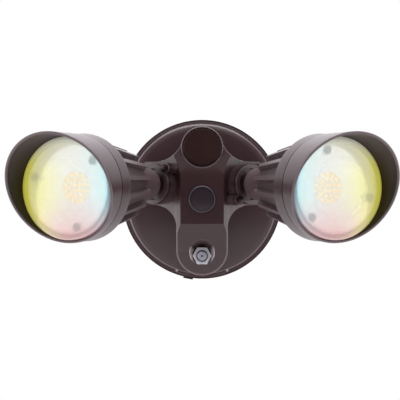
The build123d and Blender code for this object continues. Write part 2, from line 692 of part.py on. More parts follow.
for name, side in (("left", -1), ("right", 1)):
    port = port_plane(side)
    lamp = head_plane(side)
    hinge_axis = hinge_direction(side)
    seat = port.offset(-seat_back)
    lamp_section = section_plane(lamp)
    port_axis = Axis(port.origin, port.z_dir)
    lamp_axis = Axis(lamp.origin, lamp.z_dir)
    lugs = around(seat, lug_circle_r, 2, lug_turn)

    # Collar: a lipped ring with two screw lugs, seated on the arm
    with BuildPart() as collar:
        with BuildSketch(seat) as ring:
            Circle(collar_outer_r)
        extrude(ring.sketch, amount=collar_height)
        for lug in lugs:
            with BuildSketch(lug) as lug_post:
                Circle(lug_r)
            extrude(lug_post.sketch, amount=collar_height)
        with BuildSketch(seat) as bore:
            Circle(collar_bore_r)
        extrude(bore.sketch, amount=collar_height - collar_lip_thickness, mode=Mode.SUBTRACT)
        with BuildSketch(seat) as lip_bore:
            Circle(collar_lip_bore_r)
        extrude(lip_bore.sketch, amount=collar_height, mode=Mode.SUBTRACT)
        for lug in lugs:
            with BuildSketch(lug) as lug_hole:
                Circle(collar_screw_r + seat_gap)
            extrude(lug_hole.sketch, amount=collar_height, mode=Mode.SUBTRACT)
    finish_piece(collar.part, name + "_swivel_collar")

    collar_screws = [
        screw(lug.offset(collar_height), collar_screw_r, collar_height + collar_screw_grip - slip_gap,
              collar_screw_head_r, collar_screw_head_height) for lug in lugs]
    finish_piece(Compound(children=collar_screws), name + "_collar_screws")

    with BuildPart() as port_ring:
        with BuildSketch(section_plane(seat)):
            with Locations((port_ring_r, port_ring_thickness)):
                Circle(port_ring_thickness)
        revolve(axis=port_axis)
    finish_piece(port_ring.part, name + "_port_sealing_ring")

    # Swivel: a disc under the collar's lip, a hollow spigot through the port and a tongue
    disc_back = 2 * port_ring_thickness + slip_gap
    disc_front = collar_height - collar_lip_thickness - slip_gap
    spigot_end = port_wall + slip_gap + spigot_nut_thickness + spigot_beyond_nut
    hinge_plane = Plane(port.origin, x_dir=port.z_dir, z_dir=hinge_axis)
    with BuildPart() as swivel:
        with BuildSketch(section_plane(seat)) as turned:
            Polygon((spigot_bore_r, -spigot_end), (spigot_r, -spigot_end), (spigot_r, disc_back),
                    (collar_bore_r - slip_gap, disc_back), (collar_bore_r - slip_gap, disc_front),
                    (0, disc_front), (0, disc_back), (spigot_bore_r, disc_back), align=None)
        revolve(turned.sketch, axis=port_axis)
        with BuildSketch(hinge_plane) as tongue:
            Circle(tongue_half_height)
            with Locations((disc_front - seat_back, 0)):
                Rectangle(seat_back - disc_front, 2 * tongue_half_height, align=(Align.MIN, Align.CENTER))
            Circle(hinge_pin_r + bearing_gap, mode=Mode.SUBTRACT)
        extrude(tongue.sketch, amount=tongue_thickness / 2, both=True)
        wire_plane = Plane(seat.origin, x_dir=hinge_axis, z_dir=seat.z_dir).offset(disc_back)
        with BuildSketch(wire_plane) as wire_hole:
            with Locations((tongue_thickness / 2 + wire_hole_margin + wire_hole_r, 0)):
                Circle(wire_hole_r)
        extrude(wire_hole.sketch, amount=disc_front, mode=Mode.SUBTRACT)
    finish_piece(swivel.part, name + "_swivel")

    spigot_nut = six_sided_nut(
        Plane(seat.offset(-port_wall - slip_gap).origin, x_dir=seat.x_dir, z_dir=-seat.z_dir),
        spigot_nut_across_flats, spigot_nut_thickness, spigot_r + seat_gap)
    finish_piece(spigot_nut, name + "_spigot_nut")

    # Finned casting of the lamp head, with a round knuckle slotted for the tongue
    with BuildPart() as heat_sink:
        with BuildSketch(lamp.offset(fin_rear)) as fin_roots:
            with PolarLocations(0, fin_count, start_angle=180 / fin_count):
                Rectangle(flange_rear_r, fin_thickness, align=(Align.MIN, Align.CENTER))
        extrude(fin_roots.sketch, amount=flange_rise + flange_edge_round)
        with BuildSketch(lamp_section) as fin_edges:
            Polygon((0, fin_rear), (fin_rear_r - fin_depth, fin_rear),
                    (fin_corner_r, fin_rear + fin_rear_slant), (fin_front_r, flange_rear),
                    (fin_front_r, flange_rear + flange_edge_round), (0, flange_rear + flange_edge_round),
                    align=None)
        revolve(fin_edges.sketch, axis=lamp_axis, mode=Mode.INTERSECT)
        with BuildSketch(lamp_section) as core:
            with BuildLine():
                RadiusArc((0, -dome_r), (dome_r, 0), -dome_r)
                Polyline((dome_r, 0), (dome_r, neck_length), (fin_rear_r - fin_depth, fin_rear),
                         (fin_front_r - fin_depth, flange_rear),
                         (flange_rear_r - flange_edge_round, flange_rear))
                RadiusArc((flange_rear_r - flange_edge_round, flange_rear),
                          (flange_rear_r, flange_rear + flange_edge_round), -flange_edge_round)
                Polyline((flange_rear_r, flange_rear + flange_edge_round), (flange_front_r, flange_front),
                         (bowl_r, flange_front), (bowl_r, board_top - board_thickness),
                         (0, board_top - board_thickness), (0, -dome_r))
            make_face()
        revolve(core.sketch, axis=lamp_axis)
        # Slot for the tongue, wide enough for the whole swing
        half_height = tongue_half_height + slip_gap
        swing = swing_half_angle + slot_extra_angle
        with BuildSketch(Plane(lamp.origin, x_dir=-lamp.z_dir, z_dir=hinge_axis)) as slot:
            Circle(half_height)
            for way in (-1, 1):
                Rectangle(overrun, 2 * half_height, rotation=way * swing, align=(Align.MIN, Align.CENTER))
            Polygon((0, 0), (overrun * cos(radians(swing)), overrun * sin(radians(swing))),
                    (overrun * cos(radians(swing)), -overrun * sin(radians(swing))), align=None)
        extrude(slot.sketch, amount=tongue_thickness / 2 + slip_gap, both=True, mode=Mode.SUBTRACT)
        with BuildSketch(Plane(lamp.origin, x_dir=lamp.z_dir, z_dir=hinge_axis)) as pin_hole:
            Circle(hinge_pin_r + seat_gap)
        extrude(pin_hole.sketch, amount=dome_r, both=True, mode=Mode.SUBTRACT)
        with BuildSketch(lamp) as wire_way:
            Circle(wire_hole_r)
        extrude(wire_way.sketch, amount=board_top, mode=Mode.SUBTRACT)
        for hole in around(lamp.offset(flange_rear), hood_screw_circle_r, hood_screw_count):
            with BuildSketch(hole) as screw_hole:
                Circle(hood_screw_r + seat_gap)
            extrude(screw_hole.sketch, amount=overrun, mode=Mode.SUBTRACT)
        turn = reflector_screw_turns[name]
        board_back = lamp.offset(board_top - board_thickness)
        for hole in around(board_back, reflector_screw_circle_r, reflector_screw_count, turn):
            with BuildSketch(hole) as screw_hole:
                Circle(reflector_screw_r + seat_gap)
            extrude(screw_hole.sketch, amount=-reflector_screw_grip, mode=Mode.SUBTRACT)
    finish_piece(heat_sink.part, name + "_heat_sink")

    with BuildPart() as hinge_pin:
        with BuildSketch(Plane(lamp.origin, x_dir=lamp.z_dir, z_dir=hinge_axis)):
            Circle(hinge_pin_r)
        extrude(amount=hinge_pin_length / 2, both=True)
    finish_piece(hinge_pin.part, name + "_hinge_pin")

    # Light source: a round board and its chips in rings
    board = disc(board_back, board_r, board_thickness)
    finish_piece(board, name + "_led_board")
    with BuildPart() as chips:
        with BuildSketch(lamp.offset(board_top)):
            for ring_r, ring_count in zip(chip_ring_rs, chip_ring_counts):
                with PolarLocations(ring_r, ring_count, start_angle=180 / ring_count):
                    Rectangle(chip_size, chip_size)
        extrude(amount=chip_height)
    finish_piece(chips.part, name + "_led_chips")

    # Reflector: a curved white dish with a flat rim, on three bosses
    post_rise = board_thickness + reflector_post_rise
    boss_rise = board_thickness + reflector_height - reflector_boss_drop
    dish_width = reflector_mouth_r - reflector_throat_r
    dish_mid_r = reflector_throat_r + dish_width * dish_mid_share
    dish_mid_height = reflector_lift + (reflector_height - reflector_lift) * dish_rise_share
    with BuildPart() as reflector:
        with BuildSketch(section_plane(lamp.offset(board_top))) as dish:
            with BuildLine():
                inner = ThreePointArc((reflector_throat_r, reflector_lift), (dish_mid_r, dish_mid_height),
                                      (reflector_mouth_r - reflector_wall, reflector_height))
                outer = ThreePointArc((reflector_throat_r + reflector_wall, reflector_lift),
                                      (dish_mid_r + reflector_wall, dish_mid_height),
                                      (reflector_mouth_r, reflector_height - reflector_wall))
                Line(inner @ 0, outer @ 0)
                Polyline(inner @ 1, (reflector_rim_r, reflector_height),
                         (reflector_rim_r, reflector_height - reflector_wall), outer @ 1)
            make_face()
        revolve(dish.sketch, axis=lamp_axis)
        bosses = around(board_back, reflector_screw_circle_r, reflector_screw_count, turn)
        for boss in bosses:
            with BuildSketch(boss) as column:
                Circle(reflector_boss_r)
            extrude(column.sketch, amount=boss_rise)
        for boss in bosses:
            with BuildSketch(boss) as screw_hole:
                Circle(reflector_screw_r + seat_gap)
            extrude(screw_hole.sketch, amount=boss_rise, mode=Mode.SUBTRACT)
            with BuildSketch(boss.offset(post_rise)) as well:
                Circle(reflector_well_r)
            extrude(well.sketch, amount=overrun, mode=Mode.SUBTRACT)
    finish_piece(reflector.part, name + "_reflector")

    reflector_screws = [
        screw(boss.offset(post_rise), reflector_screw_r, post_rise + reflector_screw_grip - slip_gap,
              reflector_screw_head_r, reflector_screw_head_height) for boss in bosses]
    finish_piece(Compound(children=reflector_screws), name + "_reflector_screws")

    # Hood: a flared sleeve cut off at a slant, with an inner lip that clamps the lens
    rim_top = hood_mid_height + hood_half_rise + board_top - hood_rear + casting_wall
    rim_flare = hood_flare * rim_top
    mid_r = hood_rear_r + hood_flare * hood_mid_height
    lean = hood_half_rise / mid_r
    tip_turn = radians(90 - side * hood_turn)
    slant_normal = (lamp.z_dir - lamp.x_dir * lean * cos(tip_turn) - lamp.y_dir * lean * sin(tip_turn))
    rim_plane = Plane(lamp.offset(board_top + hood_mid_height).origin, z_dir=slant_normal)
    hood_back = lamp.offset(hood_rear)
    hood_screw_planes = around(hood_back, hood_screw_circle_r, hood_screw_count)
    with BuildPart() as hood:
        with BuildSketch(section_plane(hood_back)) as sleeve:
            Polygon((hood_lip_r, 0), (hood_rear_r, 0), (hood_rear_r + rim_flare, rim_top),
                    (hood_rear_r + rim_flare - hood_wall, rim_top),
                    (hood_rear_r + hood_flare * hood_lip_thickness - hood_wall, hood_lip_thickness),
                    (hood_lip_r, hood_lip_thickness), align=None)
        revolve(sleeve.sketch, axis=lamp_axis)
        split(bisect_by=rim_plane, keep=Keep.BOTTOM)
        rim_edges = [edge for edge in hood.edges()
                     if abs((edge.center() - rim_plane.origin).dot(rim_plane.z_dir)) < hood_rim_round]
        fillet(rim_edges, hood_rim_round)
        for hole in hood_screw_planes:
            with BuildSketch(hole) as screw_hole:
                Circle(hood_screw_r + seat_gap)
            extrude(screw_hole.sketch, amount=hood_lip_thickness - slip_gap, mode=Mode.SUBTRACT)
    finish_piece(hood.part, name + "_hood")

    hood_screws = [
        screw(Plane(hole.offset(flange_rear - hood_rear).origin, x_dir=lamp.x_dir, z_dir=-lamp.z_dir),
              hood_screw_r, hood_rear - flange_rear + hood_lip_thickness - 2 * slip_gap, hood_screw_head_r,
              hood_screw_head_height) for hole in hood_screw_planes]
    finish_piece(Compound(children=hood_screws), name + "_hood_screws")

    with BuildPart() as hood_gasket:
        with BuildSketch(lamp.offset(flange_front)):
            Circle(hood_gasket_r)
            Circle(hood_lip_r, mode=Mode.SUBTRACT)
        extrude(amount=hood_gap)
        for hole in around(lamp.offset(flange_front), hood_screw_circle_r, hood_screw_count):
            with BuildSketch(hole) as screw_hole:
                Circle(hood_screw_r + seat_gap)
            extrude(screw_hole.sketch, amount=hood_gap, mode=Mode.SUBTRACT)
    finish_piece(hood_gasket.part, name + "_hood_gasket")

    # Lens: a round-shouldered glass cup on its own gasket
    lens_seat = hood_back.offset(hood_lip_thickness)
    lens_gasket = disc(lens_seat, lens_r, lens_gasket_thickness, hood_lip_r)
    finish_piece(lens_gasket, name + "_lens_gasket")
    with BuildPart() as lens:
        with BuildSketch(section_plane(lens_seat.offset(lens_gasket_thickness))) as glass:
            with BuildLine():
                Polyline((lens_r - lens_wall, 0), (lens_r, 0), (lens_r, lens_height - lens_corner_r))
                RadiusArc((lens_r, lens_height - lens_corner_r), (lens_r - lens_corner_r, lens_height),
                          -lens_corner_r)
                RadiusArc((lens_r - lens_corner_r, lens_height), (0, lens_height + lens_crown),
                          -crown_radius(lens_r - lens_corner_r, lens_crown))
                Line((0, lens_height + lens_crown), (0, lens_height + lens_crown - lens_wall))
                RadiusArc((0, lens_height + lens_crown - lens_wall),
                          (lens_r - lens_corner_r, lens_height - lens_wall),
                          crown_radius(lens_r - lens_corner_r, lens_crown))
                RadiusArc((lens_r - lens_corner_r, lens_height - lens_wall),
                          (lens_r - lens_wall, lens_height - lens_corner_r), lens_corner_r - lens_wall)
                Line((lens_r - lens_wall, lens_height - lens_corner_r), (lens_r - lens_wall, 0))
            make_face()
        revolve(glass.sketch, axis=lamp_axis)
    finish_piece(lens.part, name + "_lens")
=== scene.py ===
from math import cos, degrees, pi, radians, sin

import bpy
import numpy as np
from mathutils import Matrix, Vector


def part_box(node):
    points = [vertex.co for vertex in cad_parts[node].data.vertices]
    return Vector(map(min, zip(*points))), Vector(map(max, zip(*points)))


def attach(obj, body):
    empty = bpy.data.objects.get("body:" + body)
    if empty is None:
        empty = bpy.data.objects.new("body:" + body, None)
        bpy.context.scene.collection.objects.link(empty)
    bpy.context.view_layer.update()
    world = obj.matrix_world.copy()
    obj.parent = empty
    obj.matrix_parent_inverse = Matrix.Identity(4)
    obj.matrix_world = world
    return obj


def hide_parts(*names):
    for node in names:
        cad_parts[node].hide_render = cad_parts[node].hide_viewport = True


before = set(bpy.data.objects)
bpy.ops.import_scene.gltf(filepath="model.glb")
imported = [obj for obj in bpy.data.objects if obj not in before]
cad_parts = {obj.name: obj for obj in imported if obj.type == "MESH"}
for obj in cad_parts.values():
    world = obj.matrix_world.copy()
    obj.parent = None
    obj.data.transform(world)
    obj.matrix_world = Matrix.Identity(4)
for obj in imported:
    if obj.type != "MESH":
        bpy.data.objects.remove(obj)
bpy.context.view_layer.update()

MM = 0.001  # metres in a millimetre
PER_METRE = 1000.0  # millimetres in a metre
MIDDLE = (0.0, 0.0, 0.0)
ACROSS, WALLWARD, FRONT, UP = (1.0, 0.0, 0.0), (0.0, 1.0, 0.0), (0.0, -1.0, 0.0), (0.0, 0.0, 1.0)

# Directions and places shared with the castings, in millimetres and degrees
PIVOT_SIDE, PIVOT_DEPTH, PIVOT_Z = 45.5, 52.0, 11.8
PORT_YAW, HEAD_YAW, HEAD_PITCH = 38.0, 26.5, 2.0
SIDES = (("left", -1), ("right", 1))


def port_frame(side):
    """A port's pivot, its right, its up and its outward direction, from its yaw angle."""
    turn = radians(PORT_YAW)
    pivot = np.array([side * PIVOT_SIDE, -PIVOT_DEPTH, PIVOT_Z])
    out = np.array([side * sin(turn), -cos(turn), 0.0])
    right = np.array([cos(turn), side * sin(turn), 0.0])
    return pivot, right, np.cross(out, right), out


def head_frame(side):
    """A lamp head's pivot, its right, its up and its forward direction, from yaw and pitch."""
    turn, dip = radians(HEAD_YAW), radians(HEAD_PITCH)
    pivot = np.array([side * PIVOT_SIDE, -PIVOT_DEPTH, PIVOT_Z])
    forward = np.array([side * sin(turn) * cos(dip), -cos(turn) * cos(dip), -sin(dip)])
    right = np.array([cos(turn), side * sin(turn), 0.0])
    return pivot, right, np.cross(forward, right), forward


# ---------------------------------------------------------------- shader writing


class Value:
    """One shader socket as a number in an expression: + - * / and powers add Math nodes."""

    def __init__(self, tree, socket):
        self.tree, self.socket = tree, socket

    def _math(self, operation, *parts, clamp=False):
        node = self.tree.nodes.new("ShaderNodeMath")
        node.operation = operation
        node.use_clamp = clamp
        for slot, part in zip(node.inputs, parts):
            if isinstance(part, Value):
                self.tree.links.new(part.socket, slot)
            else:
                slot.default_value = part
        return Value(self.tree, node.outputs[0])

    def __add__(self, other): return self._math("ADD", self, other)
    def __radd__(self, other): return self._math("ADD", other, self)
    def __sub__(self, other): return self._math("SUBTRACT", self, other)
    def __rsub__(self, other): return self._math("SUBTRACT", other, self)
    def __mul__(self, other): return self._math("MULTIPLY", self, other)
    def __rmul__(self, other): return self._math("MULTIPLY", other, self)
    def __truediv__(self, other): return self._math("DIVIDE", self, other)
    def __rtruediv__(self, other): return self._math("DIVIDE", other, self)
    def __pow__(self, other): return self._math("POWER", self, other)

    def abs(self): return self._math("ABSOLUTE", self)
    def clamp(self): return self._math("ADD", self, 0.0, clamp=True)
    def sqrt(self): return self._math("SQRT", self)
    def sine(self): return self._math("SINE", self)
    def at_most(self, other): return self._math("MINIMUM", self, other)
    def above(self, edge, soft):
        """Ramp from 0 to 1 as the value passes an edge, over a soft width."""
        return ((self - edge) / soft + 0.5).clamp()

    def near(self, middle, reach, soft):
        """1 within a reach of a middle value, falling to 0 over a soft width."""
        return 1.0 - (self - middle).abs().above(reach, soft)


class Shading:
    """A node tree under construction: its nodes are added by one method and its maths by Value."""

    def __init__(self, owner, output):
        owner.use_nodes = True
        self.tree = owner.node_tree
        self.tree.nodes.clear()
        self.output = self.tree.nodes.new(output)

    def node(self, kind, settings=None, **sockets):
        """Add a node: settings first, then its sockets by name from numbers, colours or links."""
        node = self.tree.nodes.new(kind)
        for key, value in (settings or {}).items():
            if key == "stops":
                ramp = node.color_ramp
                while len(ramp.elements) < len(value):
                    ramp.elements.new(1.0)
                for element, (position, colour) in zip(ramp.elements, value):
                    element.position = position
                    element.color = (*colour, 1.0) if len(colour) == 3 else colour
            else:
                setattr(node, key, value)
        for key, value in sockets.items():
            self.feed(node, key.replace("_", " "), value)
        return node

    def feed(self, node, key, value):
        """Set or link a socket by its name, or by its number as in 'socket 6'."""
        slot = node.inputs[int(key.split()[1])] if key.startswith("socket ") else node.inputs[key]
        if isinstance(value, Value):
            self.tree.links.new(value.socket, slot)
        elif isinstance(value, bpy.types.NodeSocket):
            self.tree.links.new(value, slot)
        elif isinstance(value, tuple) and len(value) == 3 and slot.type == "RGBA":
            slot.default_value = (*value, 1.0)
        else:
            slot.default_value = value

    def mix(self, factor, first, second):
        """Mix two colours by a factor."""
        made = self.node("ShaderNodeMix", {"data_type": "RGBA", "blend_type": "MIX"},
                         socket_0=factor, socket_6=first, socket_7=second)
        return made.outputs[2]

    def value(self, socket):
        return Value(self.tree, socket)

    def close(self, shader):
        """Join a shader to the output."""
        self.tree.links.new(shader, self.output.inputs[0])


class Finish(Shading):
    """A material: patterns on object coordinates, places in millimetres, bump and one surface."""

    def __init__(self, name):
        self.material = bpy.data.materials.new(name)
        super().__init__(self.material, "ShaderNodeOutputMaterial")
        self.place = self.node("ShaderNodeTexCoord").outputs["Object"]

    def noise(self, scale, detail=3.0, rough=0.5):
        """Noise on object coordinates, its scale in cycles per metre, as a value about 0.5."""
        made = self.node("ShaderNodeTexNoise", Vector=self.place, Scale=scale, Detail=detail,
                         Roughness=rough)
        return self.value(made.outputs["Fac"])

    def from_origin(self, origin):
        """The point's place as seen from an origin given in millimetres, in metres."""
        return self.node("ShaderNodeVectorMath", {"operation": "SUBTRACT"}, socket_0=self.place,
                         socket_1=tuple(v * MM for v in origin)).outputs[0]

    def off_axis(self, axis, origin):
        """How far a point lies from a line along a unit direction, in millimetres."""
        across = self.node("ShaderNodeVectorMath", {"operation": "CROSS_PRODUCT"},
                           socket_0=self.from_origin(origin),
                           socket_1=tuple(float(v) for v in axis)).outputs[0]
        length = self.node("ShaderNodeVectorMath", {"operation": "LENGTH"}, socket_0=across)
        return self.value(length.outputs["Value"]) * PER_METRE

    def component(self, axis, origin=MIDDLE):
        """How far a point lies from an origin along a direction, in millimetres."""
        dot = self.node("ShaderNodeVectorMath", {"operation": "DOT_PRODUCT"},
                        socket_0=self.from_origin(origin),
                        socket_1=tuple(float(v) for v in axis)).outputs["Value"]
        return self.value(dot) * PER_METRE

    def bump(self, height, distance, strength=1.0):
        """Bump from a height value, its full depth in metres."""
        return self.node("ShaderNodeBump", Height=height, Distance=distance,
                         Strength=strength).outputs[0]

    def surface(self, **sockets):
        """Close the material with one Principled shader."""
        self.close(self.node("ShaderNodeBsdfPrincipled", **sockets).outputs[0])


def powder_coat(name, colour, marks=None, rough=0.44, tone=0.10, peel=0.00006):
    """Satin powder coat: tone drift, fine speckle, orange-peel skin and a piece's own marks, which
    paint highlights into its colour and paint shade as a matte near-black mixed over it.
    """
    coat = Finish(name)
    drift = coat.noise(28.0, 2.0)
    speck = coat.noise(2600.0, 2.0, 0.7)
    skin = coat.noise(900.0, 2.0, 0.45)
    darker = tuple(c * (1.0 - tone) for c in colour)
    lighter = tuple(c * (1.0 + tone) + 0.002 for c in colour)
    base = coat.mix((drift * 0.7 + speck * 0.3).above(0.5, 0.5), darker, lighter)
    gloss = rough + (drift - 0.5) * 0.10 + (speck - 0.5) * 0.06
    shine, painted_shade = 0.5, None
    if marks:
        base, shine, painted_shade = marks(coat, base)
    paint_shader = coat.node("ShaderNodeBsdfPrincipled", Base_Color=base, Roughness=gloss,
                             Specular_IOR_Level=0.34, Coat_Weight=shine, Coat_Roughness=0.24,
                             Normal=coat.bump(skin + speck * 0.3, peel)).outputs[0]
    if painted_shade is None:
        coat.close(paint_shader)
    else:
        # painted shade: a matte near-black diffuse mixed in where the marks put shade
        corner = coat.node("ShaderNodeBsdfDiffuse", Color=SHADE_BLACK).outputs[0]
        coat.close(coat.node("ShaderNodeMixShader", socket_0=painted_shade, socket_1=paint_shader,
                             socket_2=corner).outputs[0])
    return coat.material


BRONZE = (0.052, 0.022, 0.025)
PAINTED_HIGHLIGHT = (0.30, 0.24, 0.255)  # painted highlight: paler coat where light catches an edge, also used to paint surfaces lighter where more light falls
SHADE_BLACK = (0.010, 0.006, 0.006)  # painted shade: near-black coat standing in for shadow in deep corners, seams and gaps
PAINTED_SHEEN = (0.62, 0.56, 0.61)  # painted sheen: chalky pale colour on the heads' tops where they reflect the bright room above


def head_places(finish, side):
    """Outward, upward and radial distances from a lamp head's axis, and forward from its pivot."""
    pivot, right, up, forward = head_frame(side)
    outward = finish.component(right * side, pivot)
    height = finish.component(up, pivot)
    radius = (outward * outward + height * height).sqrt()
    return outward, height, radius, finish.component(forward, pivot)


def top_sheen(height, radius):
    """Near 1 where a head's round side faces up, for the painted sheen and the glossier coat there,
    0 below its middle.
    """
    return (height / radius).above(0.5, 0.7) ** 1.3


# The housing's outline from the front, in millimetres: circles as (across, up, radius)
TOP_LOBE, UPPER_BLEND = (0.0, 40.7, 16.6), (36.97, 51.8, 22.0)
LOWER_BLEND, LOW_LOBE = (37.3, -21.8, 17.0), (0.0, -40.0, 19.7)
BLEND_END = 37.0  # where the upper blend runs out into the arm's top
PANEL_DEPTH, BOSS_DEPTH, PAN_DEPTH = 47.0, 40.2, 22.0
UPPER_FROM, UPPER_LEAN = 19.7, 0.4245  # height where the upper face starts to lean, and its slope
LOWER_FROM, LOWER_LEAN = -19.3, 0.4452
SEAT_SIDE, SEAT_DEPTH, SEAT_REACH, SCOOP_R = 31.34, 33.88, 12.0, 19.0  # a port's seat and scoop
SEAT_SIN, SEAT_COS = 0.616, 0.788  # of the port's yaw


def housing_edges(side, height, depth):
    """1 along lines of the cross-shaped housing: near its outline, which is the top lobe's circle,
    the upper blends, the lower blends, the low lobe's sides and its circle, and also near a surface
    that crosses the wall, a leaning face or a scoop. The scoop is taken mirrored in depth about the
    middle of the port's seat, so its lines lie off the arms' real front edges."""

    def from_circle(circle):
        """Distance outside a circle drawn on the front view, the same on both sides."""
        across, up, radius = circle
        return ((side - across) * (side - across) + (height - up) * (height - up)).sqrt() - radius

    beyond = (side - SEAT_SIDE) * SEAT_SIN + (SEAT_DEPTH - depth) * SEAT_COS
    lateral = (side - SEAT_SIDE) * SEAT_COS + (SEAT_DEPTH - depth) * SEAT_SIN + SEAT_REACH
    hollow = lateral.at_most(0.0)
    scoop = (hollow * hollow + (beyond - SCOOP_R) * (beyond - SCOOP_R)).sqrt() - SCOOP_R
    scoop_line = scoop.near(0.0, 1.0, 0.6)
    upper_face = PANEL_DEPTH - (height - UPPER_FROM) * UPPER_LEAN - depth
    lower_face = PANEL_DEPTH + (height - LOWER_FROM) * LOWER_LEAN - depth
    above_blend = height.above(LOWER_BLEND[1], 0.3)
    above_lobe = height.above(LOW_LOBE[1], 0.3)
    boss_line = (from_circle(TOP_LOBE) + 0.5).near(0.0, 0.45, 0.3) * depth.above(BOSS_DEPTH, 0.4)
    upper_wall = from_circle(UPPER_BLEND).near(0.3, 0.4, 0.4) * (1.0 - side.above(BLEND_END, 0.5))
    upper_line = upper_wall * (scoop_line + upper_face.near(0.0, 0.8, 0.4)).clamp()
    lower_wall = (from_circle(LOWER_BLEND).near(0.3, 0.5, 0.4) * above_blend
                  * (1.0 - side.above(LOWER_BLEND[0], 0.5)))
    lobe_wall = (side.near(LOW_LOBE[2], 0.7, 0.5) * above_lobe * (1.0 - above_blend)
                 + from_circle(LOW_LOBE).near(0.0, 0.7, 0.5) * (1.0 - above_lobe))
    lower_line = (lower_wall * scoop_line
                  + lobe_wall * lower_face.near(0.3, 0.9, 0.5) * 0.7).clamp()
    return (boss_line * 0.5 + upper_line + lower_line).clamp() * depth.above(PAN_DEPTH, 1.0)


RIM_DEPTH, STEP_R, LIP_R, RIM_FADE = 15.6, 59.4, 61.7, 60.0  # the pan's stepped rim
# two painted highlight spots low on the rim, where the low lobe meets it
GLINT_SIDE, GLINT_Z, GLINT_R, PAINTED_GLINT = 20.3, -57.0, 0.9, (0.75, 0.70, 0.72)
STUD_Z, CONE_DEPTH, CONE_R, CONE_SLOPE = -44.45, 33.4, 8.0, 0.6009  # the stud's recess
# painted highlight on the flanks of the stud's recess
FLANK_GLINT = (0.92, 0.83, 0.81)
ARM_DEPTH, ARM_SIDE, ARM_TOP, ARM_FADE = 30.0, 20.0, 6.0, 12.0
CORNER_R, CORNER_LOW, CORNER_FADE = 18.0, 2.0, 16.0  # painted shade in the corner round a port


def canopy_marks(coat, base):
    """Painted highlights on the rim, along the housing's edges, as two spots on the low rim, on the
    flanks of the stud's recess and on the paler lower arms, and painted shade in the corners round
    the upper part of both ports."""
    depth, side, height = coat.component(FRONT), coat.component(ACROSS).abs(), coat.component(UP)
    round_middle = coat.off_axis(WALLWARD, MIDDLE)
    on_rim = 1.0 - depth.above(RIM_DEPTH, 0.4)
    # painted highlight on the rim's step, stronger towards the upper left where the light comes
    # from
    upper_left = (coat.component((-0.7, 0.0, 0.7)) / RIM_FADE + 0.25).clamp()
    step = round_middle.near(STEP_R, 0.4, 0.45) * on_rim * (0.50 + upper_left * 0.50)
    base = coat.mix(step, base, PAINTED_HIGHLIGHT)
    # painted highlight on the rim's lip, stronger towards the top
    lip = round_middle.near(LIP_R, 0.8, 0.5) * on_rim
    base = coat.mix(lip * (0.20 + (height / RIM_FADE).clamp() * 0.35), base, PAINTED_HIGHLIGHT)
    # two small painted highlight spots low on the rim
    for corner in (-GLINT_SIDE, GLINT_SIDE):
        chip = 1.0 - coat.off_axis(WALLWARD, (corner, 0.0, GLINT_Z)).above(GLINT_R, 0.8)
        base = coat.mix(chip * 0.75, base, PAINTED_GLINT)
    # painted highlight lines along the housing's edges
    base = coat.mix(housing_edges(side, height, depth) * 0.55, base, PAINTED_HIGHLIGHT)
    # painted highlights on the left and right flanks of the stud's recess
    round_stud = coat.off_axis(WALLWARD, (0.0, 0.0, STUD_Z))
    cone = (round_stud - (depth - CONE_DEPTH) * CONE_SLOPE).near(CONE_R, 0.25, 0.2)
    flank = (side / round_stud).above(0.84, 0.22)
    base = coat.mix(cone * (0.06 + flank * 0.80), base, FLANK_GLINT)
    # lower arms painted paler, as if lit from below
    arm = depth.above(ARM_DEPTH, 2.0) * side.above(ARM_SIDE, 2.0)
    base = coat.mix(arm * ((ARM_TOP - height) / ARM_FADE).clamp() * 0.16, base, PAINTED_HIGHLIGHT)
    # painted shade: matte dark corners round the upper part of each port
    corners = 0.0
    for _, hand in SIDES:
        pivot, _, _, out = port_frame(hand)
        corners = corners + (1.0 - coat.off_axis(out, pivot).above(CORNER_R, 5.0))
    return base, 0.5, corners * ((height + CORNER_LOW) / CORNER_FADE).clamp() * 0.28


# Places along a port's axis from its pivot, in millimetres
COLLAR_FRONT, COLLAR_LINE, COLLAR_BACK, COLLAR_DEEP = -11.0, -12.8, -13.5, -18.0


def collar_marks(coat, base, side):
    """Painted highlight on the front, a painted shadow line behind it, the part behind it in
    painted shade growing towards its top, and its deepest part painted paler lower down.
    """
    pivot, _, _, out = port_frame(side)
    along, height = coat.component(out, pivot), coat.component(UP)
    behind = 1.0 - along.above(COLLAR_BACK, 2.0)
    # painted highlight on the front; the rest lighter lower down, and a painted shadow line and
    # shade behind the front
    base = coat.mix(along.above(COLLAR_FRONT, 0.3) * 0.06, base, PAINTED_HIGHLIGHT)
    deep = 1.0 - along.above(COLLAR_DEEP, 9.0)
    base = coat.mix(behind * deep * ((14.0 - height) / 16.0).clamp() * 0.13, base, PAINTED_HIGHLIGHT)
    shaded = behind * (1.0 - deep) * (0.25 + ((height - 2.0) / 12.0).clamp() * 0.5)
    return base, 0.4, along.near(COLLAR_LINE, 0.7, 0.9) * 0.85 + shaded


# Plane of the hood's slanted rim: forward = RIM_AT + RIM_OUT * outward + RIM_UP * height
RIM_AT, RIM_OUT, RIM_UP, RIM_LENGTH = 127.4, 0.1436, 0.3646, 1.0741
SHELL_R, SHELL_TAPER, SHADE_HEIGHT = 32.8, -0.05, 30.0  # between the hood's inside and outside
HOOD_SEAM, FLANGE_BACK, FLANGE_SEAM = 105.1, 90.5, 103.4  # forward from the pivot
# painted shade inside the hood: bluish, darkest at the bottom
INSIDE_LOW, INSIDE_HIGH = (0.012, 0.006, 0.014), (0.036, 0.019, 0.037)


